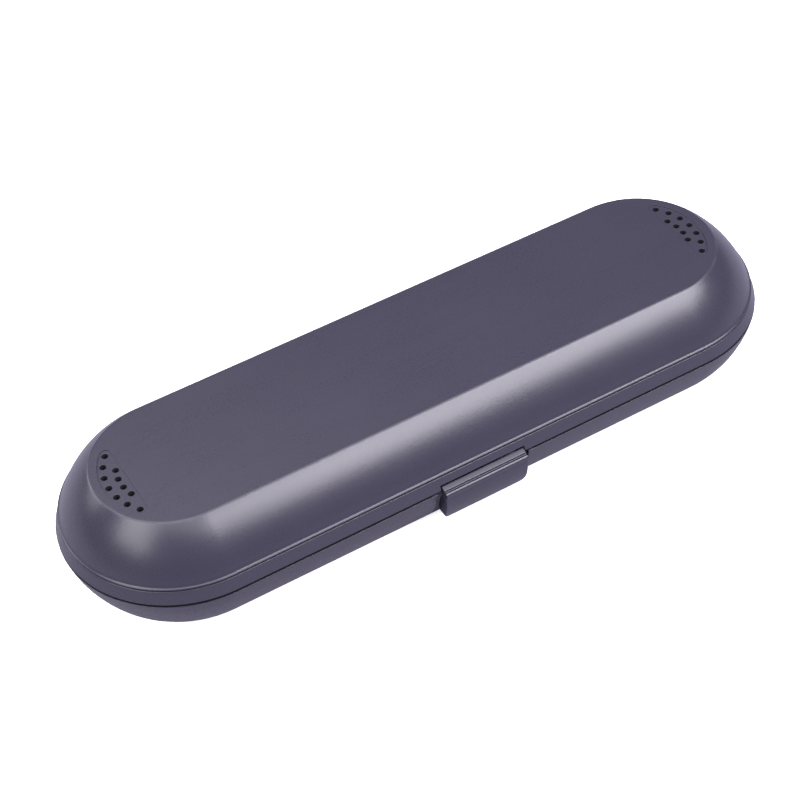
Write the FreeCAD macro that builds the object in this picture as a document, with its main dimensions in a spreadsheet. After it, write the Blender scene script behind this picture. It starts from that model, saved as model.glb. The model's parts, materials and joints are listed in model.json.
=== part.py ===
import FreeCAD, Part
import math
import os
import re

import Sketcher

# Pocket case that keeps and sanitizes a toothbrush: a hinged, vented lid over a base whose deck
# holds the handle and two brush heads, with UV-C lamps, a board and a cell in a bay between them.
# Millimetres. X runs along the case, the latch is at -Y, the hinges at +Y, Z is up.
# The origin is on the ground at the middle of the case.

doc = FreeCAD.newDocument("toothbrush_case")

SIZES = {
    # overall form: the width and the base's height follow from what the deck holds
    "case_length": 235, "lid_height": 20.5, "foot_proud": 0.6, "rim_gap": 0.9,
    # base shell
    "wall": 2.6, "floor_thickness": 2.0, "base_turn_in": 12.75, "base_side_radius": 35.6,
    "lip_width": 1.55, "deck_seat": 0.15, "seal_height": 0.6, "seal_width": 1.4,
    "seal_inset": 0.4, "seal_touch": 0.05,
    # lid band and lid shell
    "band_height": 4.4, "band_turn_in": 1.5, "groove_width": 0.4, "groove_depth": 0.9,
    "lid_wall": 2.2, "lid_side_radius": 38, "lid_turn_in": 12.9, "lid_shift": 0.15,
    "rim_width": 5.4, "tongue_height": 2.7, "tongue_width": 1.1,
    "tongue_gap": 0.25,
    # vents
    "vent_margin": 2.8, "vent_reach": 8.0, "vent_depth": 0.4, "vent_corner": 1.8,
    "vent_hole_radius": 1.0, "outer_row_inset": 1.7, "outer_row_step": 12.6,
    "inner_row_inset": 5.3, "inner_row_step": 12.85,
    # lid liner and filters
    "liner_wall": 1.0, "liner_gap": 0.25, "liner_drop": 0.8, "liner_lift": 0.55,
    "liner_side_radius": 35.2, "liner_turn_in": 14.9, "filter_thickness": 0.6,
    "filter_overlap": 0.9, "liner_screw_x": 58, "liner_screw_y": 12,
    # hinges
    "hinge_x": 45, "hinge_offset": 0.6, "knuckle_radius": 1.8, "lid_knuckle_width": 10,
    "base_knuckle_width": 6, "knuckle_side_gap": 0.3, "knuckle_relief": 0.3,
    "hinge_pin_radius": 0.8, "seat_clearance": 0.02, "turn_clearance": 0.07,
    "base_web": 4.5, "lid_web": 3.4,
    # latch
    "latch_width": 28, "latch_proud": 2.4, "latch_top": 1.35, "latch_drop": 13.5,
    "latch_corner": 3.6, "latch_groove": 0.25, "latch_bevel": 0.3, "bead_proud": 0.45,
    "bead_top": 0.6, "bead_foot": 3.7, "bead_radius": 2.4, "plate_radius": 17,
    "ledge_depth": 1.0, "ledge_foot": 1.0, "plate_top_back": 2.2, "plate_top_drop": 4.2,
    "plate_middle_back": 3.6, "plate_middle_drop": 8.0, "plate_foot_back": 4.4,
    "plate_foot_front": 2.0, "upper_groove_drop": 0.85, "lower_groove_drop": 1.6,
    "latch_pivot_out": 0.1, "latch_pivot_drop": 1.4,
    "latch_pin_radius": 0.5, "lug_radius": 1.0, "lug_width": 3, "lug_x": 8.5, "lug_leg": 1.0,
    "lug_gap": 0.35, "lug_drop": 4.6, "latch_side_gap": 0.4, "latch_notch_height": 1.95,
    "pocket_width": 31.2, "pocket_depth": 5.5, "pocket_wall": 1.8, "deck_gap": 0.2,
    # deck and troughs
    "deck_thickness": 1.6, "trough_wall": 1.2, "trough_radius": 15, "trough_floor_gap": 0.55,
    "trough_clearance": 0.7, "trough_end_margin": 19.5, "trough_spacing": 5.5,
    "head_width": 17, "head_depth": 12.5, "head_corner": 4, "head_end_margin": 25,
    "rear_room": 12.7,
    "bay_length": 44, "pad_thickness": 1.0, "pad_width": 12, "pad_x": 42, "pad_reach": 10,
    # screws
    "screw_radius": 0.85, "screw_head_radius": 1.65, "screw_head_height": 1.0,
    "screw_hole_gap": 0.25, "screw_slot": 0.45, "deck_screw_length": 5.2, "seat_height": 1.45,
    "boss_radius": 2.0, "screw_end_margin": 10.5, "rear_screw_x": 66, "front_screw_x": 60,
    "screw_lean": 1.2, "rear_screw_margin": 8.4, "end_boss_reach": 12.7,
    "rear_boss_reach": 9.3, "front_boss_reach": 4.9, "board_screw_length": 4.0,
    "liner_screw_length": 2.6,
    # electronics
    "board_length": 36.8, "board_width": 25, "board_thickness": 1.2, "board_gap": 1.5,
    "post_radius": 1.9, "post_x": 16.4, "post_y": 7.5, "cell_length": 27, "cell_width": 17,
    "cell_height": 5.6, "cell_gap": 0.3, "lead_radius": 0.45, "lead_bend": 1.2,
    "lead_reach": 2.2, "lead_pitch": 2.2,
    "usb_width": 9.0, "usb_height": 3.2, "usb_length": 8.4, "usb_skin": 0.35,
    "usb_recess": 3.8, "usb_gap": 0.3, "usb_corner": 1.4,
    "usb_tongue": 0.7, "uv_board_thickness": 1.0, "uv_board_width": 13, "uv_board_drop": 1.2,
    "uv_board_rise": 4.55, "uv_board_gap": 0.1, "uv_led_width": 3.5, "uv_led_height": 1.0,
    "window_radius": 3.2, "window_level": 6.2, "header_width": 8, "header_height": 2.5, "header_depth": 2.0,
    "chip_width": 5, "chip_height": 0.9, "coil_width": 4.4, "coil_height": 2.4,
    "led_width": 1.6, "led_height": 0.6, "pipe_radius": 1.25, "pipe_gap": 0.05,
    "pipe_flange": 0.7, "sensor_width": 4.0, "sensor_depth": 1.5, "sensor_height": 3.0,
    "sensor_x": 10, "sensor_gap": 0.95, "sensor_leg": 0.4,
    "magnet_radius": 1.5, "magnet_wall": 0.5, "magnet_height": 2.4,
    # power button and switch
    "button_radius": 4.5, "button_gap": 0.2, "button_proud": 0.35, "button_flange": 1.0,
    "flange_height": 0.8, "button_travel": 0.6, "button_stem": 1.5, "button_y": 4.5,
    "switch_width": 6, "switch_height": 3.5, "plunger_radius": 1.7, "plunger_height": 1.0,
    "plunger_depth": 2.0, "plunger_gap": 0.1,
    # feet
    "foot_radius": 5, "foot_recess": 0.8, "foot_end_margin": 39.5, "foot_y": 14,
}

sheet = doc.addObject("Spreadsheet::Sheet", "size")
for row, (alias, value) in enumerate(SIZES.items(), start=1):
    sheet.set(f"A{row}", alias)
    sheet.set(f"B{row}", str(value))
    sheet.setAlias(f"B{row}", alias)
doc.recompute()

SMALLEST_CHANGE = 1e-4


def bound(text):
    """An expression in which each size's name points at its cell."""
    return re.sub(r"[a-z_]+", lambda word: f"size.{word[0]}" if word[0] in SIZES else word[0], text)


def number(text):
    """What an expression comes to with the sizes as they are."""
    return float(sheet.evalExpression(re.sub(r"size\.", "", bound(text))))


# Levels, radii from the long centre line, and places that several pieces share.
SCREW_INSET = "(wall + screw_lean + boss_radius + deck_gap)"
TROUGH_MARGIN = (f"(max(pocket_depth + pocket_wall + trough_clearance; {SCREW_INSET} + boss_radius)"
                 " + trough_wall)")
SIDE = (f"(({TROUGH_MARGIN} + 2 * trough_radius + trough_spacing + head_width + rear_room)"
        " / 2)")
SPAN = f"(case_length / 2 - {SIDE})"
BOTTOM = "foot_proud"
PARTING = ("(foot_proud + floor_thickness + trough_floor_gap + trough_wall + trough_radius"
           " + deck_thickness + seal_height + rim_gap / 2)")
BASE_RIM = f"({PARTING} - rim_gap / 2)"
LID_RIM = f"({PARTING} + rim_gap / 2)"
LID_TOP = f"({PARTING} + lid_height)"
FLOOR = "(foot_proud + floor_thickness)"
DECK_TOP = f"({BASE_RIM} - seal_height)"
DECK_UNDER = f"({DECK_TOP} - deck_thickness)"
SEAT = f"({DECK_UNDER} - seat_height)"
DECK_EDGE = f"({SIDE} - lip_width - deck_seat)"
BAND_TOP = f"({PARTING} + band_height)"
SHELL_FOOT = f"({BAND_TOP} + groove_width)"
SHELL_EDGE = f"({SIDE} - band_turn_in - lid_shift)"
CEILING = f"({LID_TOP} - lid_wall)"
LID_CREASE = f"({SIDE} - lid_turn_in)"
CEILING_CREASE = f"({LID_CREASE} - lid_wall / 3)"
# how far the lid's inner wall leans in over the tongue's height
INNER_RUN = f"({SHELL_EDGE} - lid_wall - {CEILING_CREASE})"
INNER_RISE = f"({CEILING} - {SHELL_FOOT})"
INNER_BOW = "(lid_side_radius - lid_wall)"
FOOT_LEAN = (f"(atan({INNER_RUN} / {INNER_RISE})"
             f" - asin(sqrt({INNER_RUN} ^ 2 + {INNER_RISE} ^ 2) / 2 / {INNER_BOW}))")
TONGUE_LEAN = f"(tongue_height * tan({FOOT_LEAN}) + tongue_height ^ 2 / 2 / {INNER_BOW})"
LINER_TOP = f"({CEILING} - liner_drop)"
LINER_UNDER = f"({LINER_TOP} - liner_wall)"
HINGE_Y = f"({SIDE} + hinge_offset)"
PIVOT_Y = f"(-{SIDE} - latch_pivot_out)"
PIVOT_Z = f"({PARTING} - latch_pivot_drop)"
TROUGH_Y = f"({TROUGH_MARGIN} + trough_radius - {SIDE})"
TROUGH_SPAN = "(case_length / 2 - trough_end_margin - trough_radius)"
HEAD_Y = f"({TROUGH_Y} + trough_radius + trough_spacing + head_width / 2)"
HEAD_FLOOR = f"({DECK_TOP} - head_depth)"
HEAD_NEAR = "(bay_length / 2)"
HEAD_FAR = "(case_length / 2 - head_end_margin)"
WINDOW_Z = f"({HEAD_FLOOR} + window_level)"
BOARD_FOOT = f"({FLOOR} + cell_gap + cell_height + board_gap)"
BOARD_TOP = f"({BOARD_FOOT} + board_thickness)"
CELL_Y = f"({HEAD_Y} - post_y / 2)"
BUTTON_Y = f"({HEAD_Y} - button_y)"
PIPE_Y = f"({HEAD_Y} + button_y)"
USB_Z = f"({BOARD_TOP} + usb_height / 2)"
USB_MOUTH = f"({SIDE} - usb_recess)"
MAGNET_Y = f"({SIDE} - rim_width + magnet_wall + magnet_radius)"
SENSOR_Y = f"({HEAD_Y} + board_width / 2 - sensor_depth)"


class Piece:
    """One PartDesign body, built up a feature at a time."""

    def __init__(self, label):
        self.body = doc.addObject("PartDesign::Body", label)
        self.count = 0
        self.volume = 0.0

    def plane(self, role):
        return next(f for f in self.body.Origin.OriginFeatures if f.Role == role)

    def draw(self, role, outlines, shift):
        """A sketch on an origin plane, moved by shift in the sketch's own axes.

        An outline is a list of corners (x, y), or (x, y, radius, side) where the way to the next
        corner is an arc whose centre lies left (1) or right (-1) of it, or one circle (x, y, radius).
        """
        self.count += 1
        sketch = self.body.newObject("Sketcher::SketchObject", f"{self.body.Name}_sketch{self.count}")
        sketch.AttachmentSupport = (self.plane(role), [""])
        sketch.MapMode = "FlatFace"
        for axis, place in zip("xyz", shift):
            sketch.setExpression(f".AttachmentOffset.Base.{axis}", bound(place))
        for outline in outlines:
            if len(outline) == 1:
                draw_circle(sketch, *outline[0])
            else:
                draw_outline(sketch, outline)
        return sketch

    def finish(self, feature, cut):
        """Make the feature the tip, and see that it added or removed material as meant."""
        self.body.Tip = feature
        doc.recompute()
        change = feature.Shape.Volume - self.volume
        if (change < 0) != cut or abs(change) < SMALLEST_CHANGE:
            raise RuntimeError(f"{feature.Name} of {self.body.Label} changed the volume by {change}")
        self.volume = feature.Shape.Volume
        return feature

    def slab(self, along, outlines, low, high, cut=False):
        """Extrude outlines from low to high along an axis.

        Across Z an outline is (x, y), across X it is (y, z) and across Y it is (x, z).
        """
        role = {"x": "YZ_Plane", "y": "XZ_Plane", "z": "XY_Plane"}[along]
        start = f"-({high})" if along == "y" else low
        sketch = self.draw(role, outlines, ("0", "0", start))
        kind = "Pocket" if cut else "Pad"
        feature = self.body.newObject(f"PartDesign::{kind}", f"{self.body.Name}_{kind}{self.count}")
        feature.Profile = sketch
        feature.Reversed = cut
        feature.setExpression("Length", bound(f"({high}) - ({low})"))
        return self.finish(feature, cut)

    def mirror(self, features, role="YZ_Plane", cut=False):
        copy = self.body.newObject("PartDesign::Mirrored", f"{self.body.Name}_mirror{self.count}")
        copy.Originals = features
        copy.MirrorPlane = (self.plane(role), [""])
        return self.finish(copy, cut)

    def turn(self, outlines, x, y, angle, cut=False):
        """Turn outlines of (radius, height) about the upright line at x, y."""
        sketch = self.draw("XZ_Plane", outlines, (x, "0", f"-({y})"))
        kind = "Groove" if cut else "Revolution"
        feature = self.body.newObject(f"PartDesign::{kind}", f"{self.body.Name}_{kind}{self.count}")
        feature.Profile = sketch
        feature.ReferenceAxis = (sketch, ["V_Axis"])
        feature.Angle = angle
        feature.Midplane = True
        return self.finish(feature, cut)

    def sweep(self, outline, span, y="0", cut=False):
        """Carry an outline of (radius, height) round a stadium whose end centres are at +-span."""
        end = self.turn([outline], span, y, 180, cut)
        sections = [both_sides(outline)] if outline[0][0] == "0" else [outline, other_side(outline)]
        placed = [[shifted(corner, y) for corner in section] for section in sections]
        self.slab("x", placed, f"-({span})", span, cut)
        return self.mirror([end], cut=cut)


def shifted(corner, y):
    """A corner moved along its first axis."""
    return (f"({y}) + ({corner[0]})", *corner[1:])


def other_side(outline):
    """The outline mirrored in the centre line, walked the other way."""
    corners = []
    for index in range(len(outline) - 1, -1, -1):
        place = (f"-({outline[index][0]})", outline[index][1])
        corners.append(place + tuple(outline[index - 1][2:]))
    return corners


def both_sides(outline):
    """A half outline that starts and ends on the centre line, with its mirror image."""
    return list(outline[:-1]) + other_side(outline)[:-1]


def hold(sketch, geometry, position, x, y):
    """Fix a point of a sketch by its two distances from the sketch's origin."""
    for kind, place in (("DistanceX", x), ("DistanceY", y)):
        index = sketch.addConstraint(
            Sketcher.Constraint(kind, -1, 1, geometry, position, number(place)))
        sketch.setExpression(f"Constraints[{index}]", bound(place))


def draw_circle(sketch, x, y, radius):
    centre = FreeCAD.Vector(number(x), number(y), 0)
    geometry = sketch.addGeometry(Part.Circle(centre, FreeCAD.Vector(0, 0, 1), number(radius)))
    hold(sketch, geometry, 3, x, y)
    index = sketch.addConstraint(Sketcher.Constraint("Radius", geometry, number(radius)))
    sketch.setExpression(f"Constraints[{index}]", bound(radius))


def draw_outline(sketch, corners):
    places = [FreeCAD.Vector(number(c[0]), number(c[1]), 0) for c in corners]
    ends = []
    for index, corner in enumerate(corners):
        start = places[index]
        stop = places[(index + 1) % len(corners)]
        if len(corner) == 2:
            geometry = sketch.addGeometry(Part.LineSegment(start, stop))
            ends.append((geometry, 1, 2))
            continue
        radius = number(corner[2])
        side = corner[3]
        chord = stop - start
        left = FreeCAD.Vector(-chord.y, chord.x, 0).normalize()
        rise = math.sqrt(max(radius ** 2 - (chord.Length / 2) ** 2, 0))
        centre = (start + stop) * 0.5 + left * (side * rise)
        circle = Part.Circle(centre, FreeCAD.Vector(0, 0, 1), radius)
        first, last = (start, stop) if side > 0 else (stop, start)
        angles = [math.atan2(p.y - centre.y, p.x - centre.x) for p in (first, last)]
        geometry = sketch.addGeometry(Part.ArcOfCircle(circle, *angles))
        ends.append((geometry, 1, 2) if side > 0 else (geometry, 2, 1))
        index = sketch.addConstraint(Sketcher.Constraint("Radius", geometry, radius))
        sketch.setExpression(f"Constraints[{index}]", bound(corner[2]))
    for index, corner in enumerate(corners):
        geometry, position, _ = ends[index]
        before, _, before_end = ends[index - 1]
        sketch.addConstraint(Sketcher.Constraint("Coincident", before, before_end, geometry, position))
        hold(sketch, geometry, position, corner[0], corner[1])


def rectangle(x_low, x_high, y_low, y_high):
    return [(x_low, y_low), (x_high, y_low), (x_high, y_high), (x_low, y_high)]


def rounded(x_low, x_high, y_low, y_high, radius):
    """A rectangle with round corners, anticlockwise."""
    return [
        (f"{x_low} + {radius}", y_low), (f"{x_high} - {radius}", y_low, radius, 1),
        (x_high, f"{y_low} + {radius}"), (x_high, f"{y_high} - {radius}", radius, 1),
        (f"{x_high} - {radius}", y_high), (f"{x_low} + {radius}", y_high, radius, 1),
        (x_low, f"{y_high} - {radius}"), (x_low, f"{y_low} + {radius}", radius, 1),
    ]


nodes = []


def keep(label, item):
    """List an object as one of the case's pieces, under its own name."""
    item.Label = label
    nodes.append(item)
    return item


def cylinder(radius, height, x, y, z, along="z"):
    """A Part cylinder from a foot at x, y, z along an axis."""
    item = doc.addObject("Part::Cylinder", "rod")
    item.setExpression("Radius", bound(radius))
    item.setExpression("Height", bound(height))
    if along == "x":
        item.Placement = FreeCAD.Placement(
            FreeCAD.Vector(), FreeCAD.Rotation(FreeCAD.Vector(0, 1, 0), 90))
    place(item, x, y, z)
    return item


def block(x_low, x_high, y_low, y_high, z_low, z_high):
    """A Part box between two corners."""
    item = doc.addObject("Part::Box", "block")
    item.setExpression("Length", bound(f"({x_high}) - ({x_low})"))
    item.setExpression("Width", bound(f"({y_high}) - ({y_low})"))
    item.setExpression("Height", bound(f"({z_high}) - ({z_low})"))
    place(item, x_low, y_low, z_low)
    return item


def centred(x, y, width, depth, z_low, z_high):
    """A Part box centred on x, y."""
    return block(f"{x} - {width} / 2", f"{x} + {width} / 2",
                 f"{y} - {depth} / 2", f"{y} + {depth} / 2", z_low, z_high)


def place(item, x, y, z):
    for axis, text in zip("xyz", (x, y, z)):
        item.setExpression(f".Placement.Base.{axis}", bound(text))


def cut(base, tool):
    item = doc.addObject("Part::Cut", "cut")
    item.Base = base
    item.Tool = tool
    return item


def join(items):
    item = doc.addObject("Part::MultiFuse", "join")
    item.Shapes = items
    return item


def group(items):
    """Separate solids that are one piece's set, such as screws."""
    item = doc.addObject("Part::Compound", "group")
    item.Links = items
    return item


def screw(x, y, seat, length, upward=1):
    """A pan head screw with a cross recess: the head above its seat, the shank below it."""
    top = f"({seat}) + {upward} * screw_head_height"
    head_foot = seat if upward > 0 else top
    shank_foot = f"({seat}) - {length}" if upward > 0 else seat
    body = join([
        cylinder("screw_head_radius", "screw_head_height", x, y, head_foot),
        cylinder("screw_radius", length, x, y, shank_foot),
    ])
    recess_low = f"({top}) - screw_head_height / 2" if upward > 0 else top
    recess_high = top if upward > 0 else f"({top}) + screw_head_height / 2"
    cross = join([
        centred(x, y, "screw_slot", "screw_head_radius * 1.2", recess_low, recess_high),
        centred(x, y, "screw_head_radius * 1.2", "screw_slot", recess_low, recess_high),
    ])
    return cut(body, cross)


# Where the screws and feet stand: each pair of signs makes one of a mirrored set.
END_SCREW_X = "(case_length / 2 - screw_end_margin)"
FRONT_SCREW_Y = f"({SCREW_INSET} - {SIDE})"
REAR_SCREW_Y = f"({SIDE} - rear_screw_margin)"
DECK_SCREWS = [
    (END_SCREW_X, "0", "end_boss_reach"), ("rear_screw_x", REAR_SCREW_Y, "rear_boss_reach"),
    ("front_screw_x", FRONT_SCREW_Y, "front_boss_reach"),
]
POSTS = [("post_x", f"({HEAD_Y} - post_y)"), ("post_x", f"({HEAD_Y} + post_y)")]
LINER_SCREWS = [("liner_screw_x", "liner_screw_y"), ("liner_screw_x", "-liner_screw_y")]


def knuckle_outline(direction, web):
    """A hinge knuckle seen along X, with a web to the shell above (1) or below (-1)."""
    inner = f"{HINGE_Y} - knuckle_radius"
    outer = f"{HINGE_Y} + knuckle_radius"
    free_end = f"{PARTING} - {direction} * knuckle_radius"
    web_end = f"{PARTING} + {direction} * knuckle_radius"
    return [
        (HINGE_Y, free_end, "knuckle_radius", direction),
        (outer, PARTING, "knuckle_radius", direction),
        (HINGE_Y, web_end),
        (inner, f"{PARTING} + {direction} * {web}"),
        (inner, PARTING, "knuckle_radius", direction),
    ]


LID_KNUCKLE = [("(hinge_x - lid_knuckle_width / 2)", "(hinge_x + lid_knuckle_width / 2)")]
BASE_KNUCKLES = [
    ("(hinge_x - lid_knuckle_width / 2 - knuckle_side_gap - base_knuckle_width)",
     "(hinge_x - lid_knuckle_width / 2 - knuckle_side_gap)"),
    ("(hinge_x + lid_knuckle_width / 2 + knuckle_side_gap)",
     "(hinge_x + lid_knuckle_width / 2 + knuckle_side_gap + base_knuckle_width)"),
]


def add_knuckles(piece, own, others, direction, web, bore_gap):
    """Relieve a shell for the other part's knuckles, then add its own and bore them."""
    relief = [(HINGE_Y, PARTING, "knuckle_radius + knuckle_relief")]
    features = [piece.slab("x", [relief], f"{low} - knuckle_side_gap",
                           f"{high} + knuckle_side_gap", cut=True) for low, high in others]
    piece.mirror(features, cut=True)
    features = [piece.slab("x", [knuckle_outline(direction, web)], *span) for span in own]
    piece.mirror(features)
    bore = [(HINGE_Y, PARTING, f"hinge_pin_radius + {bore_gap}")]
    features = [piece.slab("x", [bore], *span, cut=True) for span in own]
    piece.mirror(features, cut=True)


def latch_room(margin):
    """The plan of the latch pocket's block, grown by a margin."""
    half = f"(pocket_width / 2 + pocket_wall + {margin})"
    return rectangle(f"-{half}", half, f"-{SIDE} - 1", f"pocket_depth + pocket_wall + {margin} - {SIDE}")


def make_base_shell():
    piece = Piece("base_shell")
    arc_foot = f"{SIDE} - base_turn_in"
    piece.sweep([("0", BOTTOM), (arc_foot, BOTTOM, "base_side_radius", 1),
                 (SIDE, BASE_RIM), ("0", BASE_RIM)], SPAN)
    piece.sweep([("0", FLOOR), (f"{arc_foot} - wall / 3", FLOOR, "base_side_radius - wall", 1),
                 (f"{SIDE} - wall", BASE_RIM), ("0", BASE_RIM)], SPAN, cut=True)
    lip = f"{SIDE} - lip_width"
    piece.sweep([("0", DECK_UNDER), (lip, DECK_UNDER), (lip, BASE_RIM), ("0", BASE_RIM)],
                SPAN, cut=True)
    # block that carries the latch pocket, trimmed back to the shell's own curve
    half = "(pocket_width / 2 + pocket_wall)"
    piece.slab("z", [rectangle(f"-{half}", half, f"-{SIDE}", f"pocket_depth + pocket_wall - {SIDE}")],
               FLOOR, BASE_RIM)
    piece.slab("x", [[(f"-{SIDE}", BASE_RIM, "base_side_radius", 1), (f"base_turn_in - {SIDE}", BOTTOM),
                      (f"-{SIDE} - 1", BOTTOM), (f"-{SIDE} - 1", BASE_RIM)]],
               f"-{half}", half, cut=True)
    piece.slab("z", [rectangle("-pocket_width / 2", "pocket_width / 2",
                               f"-{SIDE} - 1", f"pocket_depth - {SIDE}")],
               BOTTOM, BASE_RIM, cut=True)
    add_knuckles(piece, BASE_KNUCKLES, LID_KNUCKLE, -1, "base_web", "seat_clearance")
    bosses = [piece.slab("z", [[(x, y, "boss_radius")]], f"{SEAT} - {reach}", SEAT)
              for x, y, reach in DECK_SCREWS]
    posts = [piece.slab("z", [[(x, y, "post_radius")]], "foot_proud + floor_thickness / 2", BOARD_FOOT)
             for x, y in POSTS]
    piece.mirror(bosses + posts)
    deck_hole_foot = f"{DECK_TOP} - screw_head_height - deck_screw_length"
    holes = [piece.slab("z", [[(x, y, "screw_radius + seat_clearance")]], deck_hole_foot, SEAT, cut=True)
             for x, y, _ in DECK_SCREWS]
    holes += [piece.slab("z", [[(x, y, "screw_radius + seat_clearance")]],
                         f"{BOARD_TOP} - board_screw_length", BOARD_FOOT, cut=True) for x, y in POSTS]
    piece.mirror(holes, cut=True)
    piece.slab("y", [rounded("(-usb_width / 2 - usb_gap)", "(usb_width / 2 + usb_gap)",
                             f"({USB_Z} - usb_height / 2 - usb_gap)",
                             f"({USB_Z} + usb_height / 2 + usb_gap)", "(usb_corner + usb_gap)")],
               f"{SIDE} - base_turn_in", f"{SIDE} + 1", cut=True)
    feet = [piece.slab("z", [[("case_length / 2 - foot_end_margin", y, "foot_radius")]],
                       BOTTOM, "foot_proud + foot_recess", cut=True) for y in ("foot_y", "-foot_y")]
    piece.mirror(feet, cut=True)
    keep("base_shell", piece.body)


def make_rubber_feet():
    x = "(case_length / 2 - foot_end_margin)"
    feet = [cylinder("foot_radius - seat_clearance", "foot_proud + foot_recess", f"{side} * {x}", y, "0")
            for side in (-1, 1) for y in ("foot_y", "-foot_y")]
    keep("rubber_feet", group(feet))


def head_outline(margin):
    """The plan of the right brush head trough, grown by a margin."""
    return rounded(f"({HEAD_NEAR} - {margin})", f"({HEAD_FAR} + {margin})",
                   f"({HEAD_Y} - head_width / 2 - {margin})",
                   f"({HEAD_Y} + head_width / 2 + {margin})", f"(head_corner + {margin})")


def make_deck_tray():
    piece = Piece("deck_tray")
    piece.sweep([("0", DECK_UNDER), (DECK_EDGE, DECK_UNDER), (DECK_EDGE, DECK_TOP), ("0", DECK_TOP)],
                SPAN)
    piece.sweep([("0", DECK_UNDER), ("trough_radius", DECK_UNDER), ("trough_radius", DECK_TOP),
                 ("0", DECK_TOP)], TROUGH_SPAN, TROUGH_Y, cut=True)
    piece.mirror([piece.slab("z", [[(x, y, "boss_radius")]], SEAT, DECK_UNDER)
                  for x, y, _ in DECK_SCREWS])
    cuts = [piece.slab("z", [head_outline("0")], DECK_UNDER, DECK_TOP, cut=True)]
    for x, y, _ in DECK_SCREWS:
        cuts.append(piece.slab("z", [[(x, y, "screw_head_radius + screw_hole_gap")]],
                               f"{DECK_TOP} - screw_head_height", DECK_TOP, cut=True))
        cuts.append(piece.slab("z", [[(x, y, "screw_radius + screw_hole_gap")]],
                               SEAT, f"{DECK_TOP} - screw_head_height", cut=True))
    piece.mirror(cuts, cut=True)
    piece.slab("z", [[("0", BUTTON_Y, "button_radius + button_gap")]], DECK_UNDER, DECK_TOP, cut=True)
    piece.slab("z", [[("0", PIPE_Y, "pipe_radius + pipe_gap")]], DECK_UNDER, DECK_TOP, cut=True)
    piece.slab("z", [latch_room("deck_gap")], DECK_UNDER, DECK_TOP, cut=True)
    keep("deck_tray", piece.body)


def make_handle_tub():
    """The round-bottomed trough that hangs under the deck's long opening."""
    piece = Piece("handle_tub")
    for radius, removes in (("(trough_radius + trough_wall)", False), ("trough_radius", True)):
        piece.sweep([("0", f"{DECK_UNDER} - {radius}", radius, 1), (radius, DECK_UNDER),
                     ("0", DECK_UNDER)], TROUGH_SPAN, TROUGH_Y, removes)
    keep("handle_tub", piece.body)


def make_head_tub(label, side):
    """A brush head's trough, with the lamp window's seat in its inner end."""
    piece = Piece(label)
    piece.slab("z", [head_outline("trough_wall")], f"{HEAD_FLOOR} - trough_wall", DECK_UNDER)
    piece.slab("z", [head_outline("0")], HEAD_FLOOR, DECK_UNDER, cut=True)
    piece.slab("x", [[(HEAD_Y, WINDOW_Z, "window_radius + seat_clearance")]],
               f"{HEAD_NEAR} - trough_wall", HEAD_NEAR, cut=True)
    if side < 0:
        turned = FreeCAD.Rotation(FreeCAD.Vector(0, 0, 1), 180)
        piece.body.Placement.Rotation = turned
        piece.body.setExpression(".Placement.Base.y", bound(f"2 * {HEAD_Y}"))
    keep(label, piece.body)


def make_rim_seal():
    """A gasket that sits in the deck's groove and folds out over the base's lip."""
    piece = Piece("rim_seal")
    inner = f"{DECK_EDGE} - seal_width"
    outer = f"{SIDE} - seal_inset"
    top = f"{LID_RIM} - seal_touch"
    piece.sweep([(inner, DECK_TOP), (DECK_EDGE, DECK_TOP), (DECK_EDGE, BASE_RIM),
                 (outer, BASE_RIM), (outer, top), (inner, top)], SPAN)
    piece.slab("z", [latch_room("deck_gap")], DECK_TOP, top, cut=True)
    # room for the hinges
    reach = "(lid_knuckle_width / 2 + 2 * knuckle_side_gap + base_knuckle_width)"
    room = piece.slab("x", [[(HINGE_Y, PARTING, "knuckle_radius + knuckle_relief")]],
                      f"hinge_x - {reach}", f"hinge_x + {reach}", cut=True)
    piece.mirror([room], cut=True)
    keep("rim_seal", piece.body)


def make_handle_pads():
    piece = Piece("handle_pads")
    outer = "(trough_radius - seat_clearance)"
    inner = f"({outer} - pad_thickness)"
    drop_outer = f"sqrt({outer} ^ 2 - pad_reach ^ 2)"
    drop_inner = f"sqrt({inner} ^ 2 - pad_reach ^ 2)"
    saddle = piece.slab("x", [[
        (f"{TROUGH_Y} - pad_reach", f"{DECK_UNDER} - {drop_outer}", outer, 1),
        (f"{TROUGH_Y} + pad_reach", f"{DECK_UNDER} - {drop_outer}"),
        (f"{TROUGH_Y} + pad_reach", f"{DECK_UNDER} - {drop_inner}", inner, -1),
        (f"{TROUGH_Y} - pad_reach", f"{DECK_UNDER} - {drop_inner}")]],
        "pad_x - pad_width / 2", "pad_x + pad_width / 2")
    piece.mirror([saddle])
    keep("handle_pads", piece.body)


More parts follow.
